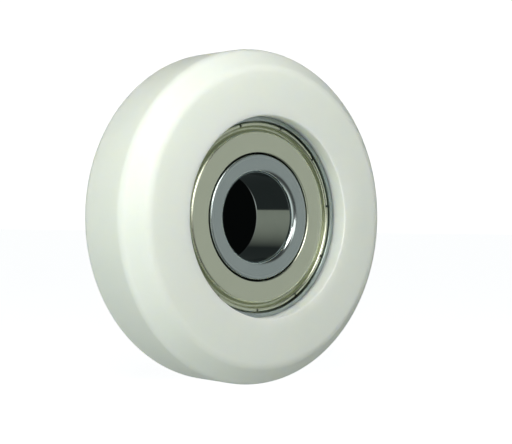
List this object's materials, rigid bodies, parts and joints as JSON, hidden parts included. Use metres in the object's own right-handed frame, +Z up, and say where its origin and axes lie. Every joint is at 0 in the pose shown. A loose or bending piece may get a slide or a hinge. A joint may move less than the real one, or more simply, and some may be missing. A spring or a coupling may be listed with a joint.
{
  "type": "cam follower roller",
  "caption": "Plain-bore roller for following a cam: a white moulded tyre with bevelled edges around a shielded deep-groove ball bearing.",
  "frame": {"origin": "middle of the bore, on the wheel's mid plane", "axes": "+Y along the bore towards the back, so the front face looks towards -Y; +Z up"},
  "size_m": [0.064, 0.0186, 0.064],
  "materials": {
    "tyre": "moulded, satin",
    "rings": "ground",
    "shields": "pressed sheet",
    "cage": "pressed sheet",
    "balls": "polished",
    "rivets": "cold headed"
  },
  "bodies": {
    "inner": {"inner_ring": "rings"},
    "roller": {"tyre": "tyre", "outer_ring": "rings", "front_shield": "shields", "back_shield": "shields"},
    "cage": {"cage_front": "cage", "cage_back": "cage", "cage_rivet_1": "rivets", "cage_rivet_2": "rivets", "cage_rivet_3": "rivets", "cage_rivet_4": "rivets", "cage_rivet_5": "rivets", "cage_rivet_6": "rivets", "cage_rivet_7": "rivets", "cage_rivet_8": "rivets"},
    "ball_1": {"ball_1": "balls"},
    "ball_2": {"ball_2": "balls"},
    "ball_3": {"ball_3": "balls"},
    "ball_4": {"ball_4": "balls"},
    "ball_5": {"ball_5": "balls"},
    "ball_6": {"ball_6": "balls"},
    "ball_7": {"ball_7": "balls"},
    "ball_8": {"ball_8": "balls"}
  },
  "joints": [
    {"name": "roller_spin", "type": "hinge", "parent": "inner", "child": "roller", "pos_m": [0, 0, 0], "axis": [0, 1, 0], "continuous": true},
    {"name": "cage_spin", "type": "hinge", "parent": "inner", "child": "cage", "pos_m": [0, 0, 0], "axis": [0, 1, 0], "continuous": true},
    {"name": "ball_1_spin", "type": "hinge", "parent": "cage", "child": "ball_1", "pos_m": [0.01425, 0, 0], "axis": [0, 1, 0], "continuous": true},
    {"name": "ball_2_spin", "type": "hinge", "parent": "cage", "child": "ball_2", "pos_m": [0.01008, 0, 0.01008], "axis": [0, 1, 0], "continuous": true},
    {"name": "ball_3_spin", "type": "hinge", "parent": "cage", "child": "ball_3", "pos_m": [0, 0, 0.01425], "axis": [0, 1, 0], "continuous": true},
    {"name": "ball_4_spin", "type": "hinge", "parent": "cage", "child": "ball_4", "pos_m": [-0.01008, 0, 0.01008], "axis": [0, 1, 0], "continuous": true},
    {"name": "ball_5_spin", "type": "hinge", "parent": "cage", "child": "ball_5", "pos_m": [-0.01425, 0, 0], "axis": [0, 1, 0], "continuous": true},
    {"name": "ball_6_spin", "type": "hinge", "parent": "cage", "child": "ball_6", "pos_m": [-0.01008, 0, -0.01008], "axis": [0, 1, 0], "continuous": true},
    {"name": "ball_7_spin", "type": "hinge", "parent": "cage", "child": "ball_7", "pos_m": [0, 0, -0.01425], "axis": [0, 1, 0], "continuous": true},
    {"name": "ball_8_spin", "type": "hinge", "parent": "cage", "child": "ball_8", "pos_m": [0.01008, 0, -0.01008], "axis": [0, 1, 0], "continuous": true}
  ],
  "couplings": [
    {"joint": "cage_spin", "follows": "roller_spin", "ratio": 0.61837},
    {"joint": "ball_1_spin", "follows": "roller_spin", "ratio": 1.9937},
    {"joint": "ball_2_spin", "follows": "roller_spin", "ratio": 1.9937},
    {"joint": "ball_3_spin", "follows": "roller_spin", "ratio": 1.9937},
    {"joint": "ball_4_spin", "follows": "roller_spin", "ratio": 1.9937},
    {"joint": "ball_5_spin", "follows": "roller_spin", "ratio": 1.9937},
    {"joint": "ball_6_spin", "follows": "roller_spin", "ratio": 1.9937},
    {"joint": "ball_7_spin", "follows": "roller_spin", "ratio": 1.9937},
    {"joint": "ball_8_spin", "follows": "roller_spin", "ratio": 1.9937}
  ]
}
